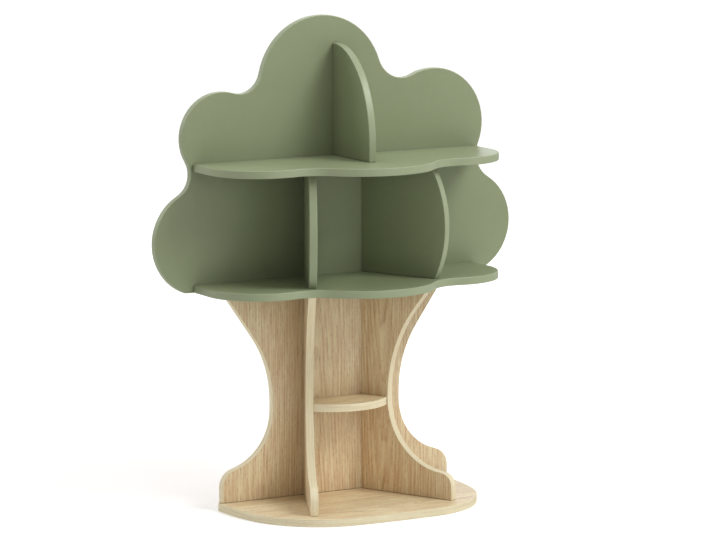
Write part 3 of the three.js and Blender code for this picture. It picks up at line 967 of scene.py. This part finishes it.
def screw_recipe():
    """Connecting screw with its head's top at the point: hex socket, cone, collar and thread."""
    recipe = Recipe("connecting_screw")
    whole_length = recipe.input("Length")
    (
        head_radius, head_rim, head_height, collar, thread_radius, core_radius, pitch,
        socket_radius, socket_depth,
    ) = [recipe.input(label(name)) for name in SCREW_SIZES]
    sides = recipe.input("Sides", "NodeSocketInt")
    material = recipe.input("Material", "NodeSocketMaterial")
    overlap = 0.05 * MILLIMETRE

    def drum(radius, depth, top):
        solid = recipe.add("GeometryNodeMeshCylinder", inputs={
            "Vertices": sides, "Radius": radius, "Depth": depth,
        })
        return recipe.at_height(solid, top - depth * 0.5)

    def cone(top_radius, foot_radius, depth, top):
        solid = recipe.add("GeometryNodeMeshCone", inputs={
            "Vertices": sides, "Radius Top": top_radius, "Radius Bottom": foot_radius,
            "Depth": depth,
        })
        return recipe.at_height(solid, top - depth)

    rim = drum(head_radius, head_rim, 0)
    funnel = cone(head_radius, thread_radius, head_height - head_rim + overlap, overlap - head_rim)
    neck = drum(thread_radius, collar + overlap, overlap - head_height)
    tip_length = pitch
    tip_top = tip_length - whole_length
    shank_length = whole_length - head_height - tip_length
    shank = drum(core_radius, shank_length, 0 - head_height)
    tip = cone(core_radius, core_radius * 0.4, tip_length + overlap, overlap + tip_top)
    whole = recipe.add("GeometryNodeMeshBoolean", {"operation": "UNION"}, {
        "Mesh 2": [rim, funnel, neck, shank, tip],
    })
    hexagon = recipe.add("GeometryNodeMeshCylinder", inputs={
        "Vertices": 6, "Radius": socket_radius, "Depth": socket_depth * 2.0,
    })
    body = recipe.add("GeometryNodeMeshBoolean", {"operation": "DIFFERENCE"}, {
        "Mesh 1": whole, "Mesh 2": hexagon,
    })
    thread_length = shank_length - collar
    ridge = thread_radius - core_radius
    sunk = core_radius * 0.98
    helix = recipe.add("GeometryNodeCurveSpiral", inputs={
        "Resolution": 20, "Rotations": thread_length / pitch, "Start Radius": sunk,
        "End Radius": sunk, "Height": thread_length,
    })
    wire = recipe.add("GeometryNodeCurvePrimitiveCircle", {"mode": "RADIUS"}, {
        "Resolution": 4, "Radius": ridge,
    })
    thread = recipe.add("GeometryNodeCurveToMesh", inputs={
        "Curve": helix, "Profile Curve": wire, "Fill Caps": True,
    })
    thread = recipe.at_height(thread, tip_top)
    screw = recipe.add("GeometryNodeJoinGeometry", inputs={"Geometry": [body, thread]})
    recipe.copies(screw, material)
    return recipe


def dowel_recipe():
    """Fluted dowel with chamfered ends, its middle at the point."""
    recipe = Recipe("fluted_dowel")
    whole_length = recipe.input("Length")
    radius = recipe.input("Radius")
    chamfer = recipe.input("Chamfer")
    flute = recipe.input("Flute Depth")
    material = recipe.input("Material", "NodeSocketMaterial")
    foot = recipe.add("ShaderNodeCombineXYZ", inputs={"Z": whole_length * -0.5})
    head = recipe.add("ShaderNodeCombineXYZ", inputs={"Z": whole_length * 0.5})
    line = recipe.add("GeometryNodeCurvePrimitiveLine", inputs={"Start": foot, "End": head})
    path = recipe.add("GeometryNodeResampleCurve", inputs={
        "Curve": line, "Count": recipe.maths("ROUND", whole_length / chamfer) + 1.0,
    })
    run = recipe.add("GeometryNodeSplineParameter", output="Length")
    to_end = recipe.maths("MINIMUM", run, whole_length - run)
    width = recipe.maths("MINIMUM", (radius - chamfer + to_end) / radius, 1.0)
    ring = recipe.add("GeometryNodeCurvePrimitiveCircle", {"mode": "RADIUS"}, {
        "Resolution": DOWEL_SIDES, "Radius": radius,
    })
    groove = (recipe.add("GeometryNodeInputIndex") % 2.0) * flute / radius
    spot = recipe.add("GeometryNodeInputPosition")
    inward = recipe.add("ShaderNodeVectorMath", {"operation": "SCALE"}, {
        "Vector": spot, "Scale": groove * -1.0,
    })
    fluted = recipe.add("GeometryNodeSetPosition", inputs={"Geometry": ring, "Offset": inward})
    dowel = recipe.add("GeometryNodeCurveToMesh", inputs={
        "Curve": path, "Profile Curve": fluted, "Scale": width, "Fill Caps": True,
    })
    recipe.copies(dowel, material)
    return recipe


class BOOKSHELF_OT_crown_back(Operator):
    """Build the painted back panel of the crown"""
    bl_idname = "bookshelf.crown_back"
    bl_label = "Crown Back"

    def execute(self, context):
        painted_board(context, "crown_back")
        return {"FINISHED"}


class BOOKSHELF_OT_crown_shelves(Operator):
    """Build the two painted shelves"""
    bl_idname = "bookshelf.crown_shelves"
    bl_label = "Crown Shelves"

    def execute(self, context):
        painted_board(context, "upper_shelf", "lower_shelf")
        return {"FINISHED"}


class BOOKSHELF_OT_crown_dividers(Operator):
    """Build the painted uprights on the shelves"""
    bl_idname = "bookshelf.crown_dividers"
    bl_label = "Crown Dividers"

    def execute(self, context):
        painted_board(context, "top_divider", "left_divider", "right_divider")
        return {"FINISHED"}


class BOOKSHELF_OT_trunk_back(Operator):
    """Build the oak back panel of the trunk"""
    bl_idname = "bookshelf.trunk_back"
    bl_label = "Trunk Back"

    def execute(self, context):
        oak_board(context, "trunk_back")
        return {"FINISHED"}


class BOOKSHELF_OT_trunk_sides(Operator):
    """Build the splayed oak sides of the trunk"""
    bl_idname = "bookshelf.trunk_sides"
    bl_label = "Trunk Sides"

    def execute(self, context):
        oak_board(context, "left_trunk_side", "right_trunk_side")
        return {"FINISHED"}


class BOOKSHELF_OT_trunk_shelf(Operator):
    """Build the small oak shelf inside the trunk"""
    bl_idname = "bookshelf.trunk_shelf"
    bl_label = "Trunk Shelf"

    def execute(self, context):
        oak_board(context, "trunk_shelf")
        return {"FINISHED"}


class BOOKSHELF_OT_base(Operator):
    """Build the oak base board"""
    bl_idname = "bookshelf.base"
    bl_label = "Base"

    def execute(self, context):
        oak_board(context, "base")
        return {"FINISHED"}


class BOOKSHELF_OT_screws(Operator):
    """Build all connecting screws"""
    bl_idname = "bookshelf.screws"
    bl_label = "Connecting Screws"

    def execute(self, context):
        settings = context.scene.fasteners
        screws = [fastener for fastener in fasteners if fastener.is_screw]
        spots = [(screw.head, screw.way) for screw in screws]
        sizes = {label(name): getattr(settings, name) for name in SCREW_SIZES}
        piece = screw_recipe().run("connecting_screws", spots, {
            **sizes,
            "Length": screws[0].length,
            "Sides": settings.sides,
            "Material": zinc_plate(settings),
        })
        hand_over(piece, [screw.node for screw in screws])
        return {"FINISHED"}


class BOOKSHELF_OT_dowels(Operator):
    """Build all dowels"""
    bl_idname = "bookshelf.dowels"
    bl_label = "Dowels"

    def execute(self, context):
        settings = context.scene.fasteners
        material = bare_beech(settings)
        recipe = dowel_recipe()
        dowels = [fastener for fastener in fasteners if not fastener.is_screw]
        for name, crown in (("board_dowels", False), ("crown_dowels", True)):
            alike = [dowel for dowel in dowels if dowel.node.startswith("crown_") == crown]
            spots = [(dowel.middle, dowel.way) for dowel in alike]
            piece = recipe.run(name, spots, {
                "Length": alike[0].length,
                "Radius": settings.dowel_radius,
                "Chamfer": settings.dowel_chamfer,
                "Flute Depth": settings.flute_depth,
                "Material": material,
            })
            hand_over(piece, [dowel.node for dowel in alike])
        return {"FINISHED"}


def add_camera(settings):
    lens = bpy.data.cameras.new("camera")
    lens.sensor_width = SENSOR_WIDTH
    lens.lens = settings.lens
    lens.clip_end = CAMERA_REACH
    camera = new_object("camera", lens)
    camera.location = settings.camera_place
    camera.rotation_euler = (math.pi / 2 - settings.camera_drop, 0, -settings.camera_turn)
    bpy.context.scene.camera = camera


def add_lamp(name, bearing, height, power, tint):
    """Adds a square area lamp that looks at the bookshelf's middle, and that no camera sees."""
    light = bpy.data.lights.new(name, "AREA")
    light.shape = "SQUARE"
    light.size = LAMP_SIZE
    light.energy = power
    light.color = tint
    lamp = new_object(name, light)
    aside, upward = math.radians(bearing), math.radians(height)
    way = Vector((
        math.sin(aside) * math.cos(upward), -math.cos(aside) * math.cos(upward), math.sin(upward),
    ))
    lamp.visible_camera = False
    lamp.location = LAMP_TARGET + way * LAMP_DISTANCE
    lamp.rotation_euler = (-way).to_track_quat("-Z", "Y").to_euler()


def add_world(settings):
    """Even light from all round. The camera and reflections see plain white."""
    world = bpy.data.worlds.new("studio")
    world.use_nodes = True
    bpy.context.scene.world = world
    nodes = Nodes(world.node_tree)
    light = nodes.add("ShaderNodeBackground", inputs={
        "Color": (*settings.ambient_tint, 1), "Strength": settings.ambient,
    })
    white = nodes.add("ShaderNodeBackground", inputs={"Color": (1, 1, 1, 1), "Strength": 1.0})
    seen = nodes.add("ShaderNodeLightPath", output="Is Camera Ray")
    mirrored = nodes.add("ShaderNodeLightPath", output="Is Glossy Ray")
    through = nodes.add("ShaderNodeLightPath", output="Is Transmission Ray")
    share = nodes.maths("MINIMUM", seen + mirrored + through, 1.0)
    shader = nodes.add("ShaderNodeMixShader", inputs={0: share, 1: light, 2: white})
    nodes.add("ShaderNodeOutputWorld", inputs={"Surface": shader})


def add_floor(settings):
    shape = bmesh.new()
    bmesh.ops.create_grid(shape, x_segments=1, y_segments=1, size=settings.floor_reach)
    mesh = bpy.data.meshes.new("floor")
    shape.to_mesh(mesh)
    shape.free()
    mesh.materials.append(pale_floor(settings))
    new_object("floor", mesh)


class BOOKSHELF_OT_studio(Operator):
    """Set up the floor, the lamps, the world and the camera"""
    bl_idname = "bookshelf.studio"
    bl_label = "Studio"

    def execute(self, context):
        settings = context.scene.studio
        context.scene.view_settings.view_transform = "Standard"
        add_camera(settings)
        add_world(settings)
        add_floor(settings)
        for name, values in LAMPS.items():
            add_lamp(name, *values)
        return {"FINISHED"}


OPERATORS = (
    BOOKSHELF_OT_studio,
    BOOKSHELF_OT_crown_back,
    BOOKSHELF_OT_crown_shelves,
    BOOKSHELF_OT_crown_dividers,
    BOOKSHELF_OT_trunk_back,
    BOOKSHELF_OT_trunk_sides,
    BOOKSHELF_OT_trunk_shelf,
    BOOKSHELF_OT_base,
    BOOKSHELF_OT_screws,
    BOOKSHELF_OT_dowels,
)


class BOOKSHELF_PT_panel(Panel):
    """Buttons and settings of the bookshelf"""
    bl_idname = "BOOKSHELF_PT_panel"
    bl_label = "Tree Shaped Bookshelf"
    bl_space_type = "VIEW_3D"
    bl_region_type = "UI"
    bl_category = "Bookshelf"

    def draw(self, context):
        for operator in OPERATORS:
            self.layout.operator(operator.bl_idname)
        for name, group in SETTINGS.items():
            box = self.layout.box()
            box.label(text=label(name))
            for setting in group.__annotations__:
                box.prop(getattr(context.scene, name), setting)


SETTINGS = {
    "painted_boards": PaintedBoardSettings,
    "oak_boards": OakBoardSettings,
    "fasteners": FastenerSettings,
    "studio": StudioSettings,
}
CLASSES = (*SETTINGS.values(), *OPERATORS, BOOKSHELF_PT_panel)


def register():
    for kind in CLASSES:
        bpy.utils.register_class(kind)
    for name, group in SETTINGS.items():
        setattr(bpy.types.Scene, name, PointerProperty(type=group))


def unregister():
    for name in SETTINGS:
        delattr(bpy.types.Scene, name)
    for kind in reversed(CLASSES):
        bpy.utils.unregister_class(kind)


def main():
    register()
    bpy.ops.bookshelf.studio()
    bpy.ops.bookshelf.crown_back()
    bpy.ops.bookshelf.crown_shelves()
    bpy.ops.bookshelf.crown_dividers()
    bpy.ops.bookshelf.trunk_back()
    bpy.ops.bookshelf.trunk_sides()
    bpy.ops.bookshelf.trunk_shelf()
    bpy.ops.bookshelf.base()
    bpy.ops.bookshelf.screws()
    bpy.ops.bookshelf.dowels()
    bpy.context.view_layer.update()


if __name__ == "__main__":
    main()
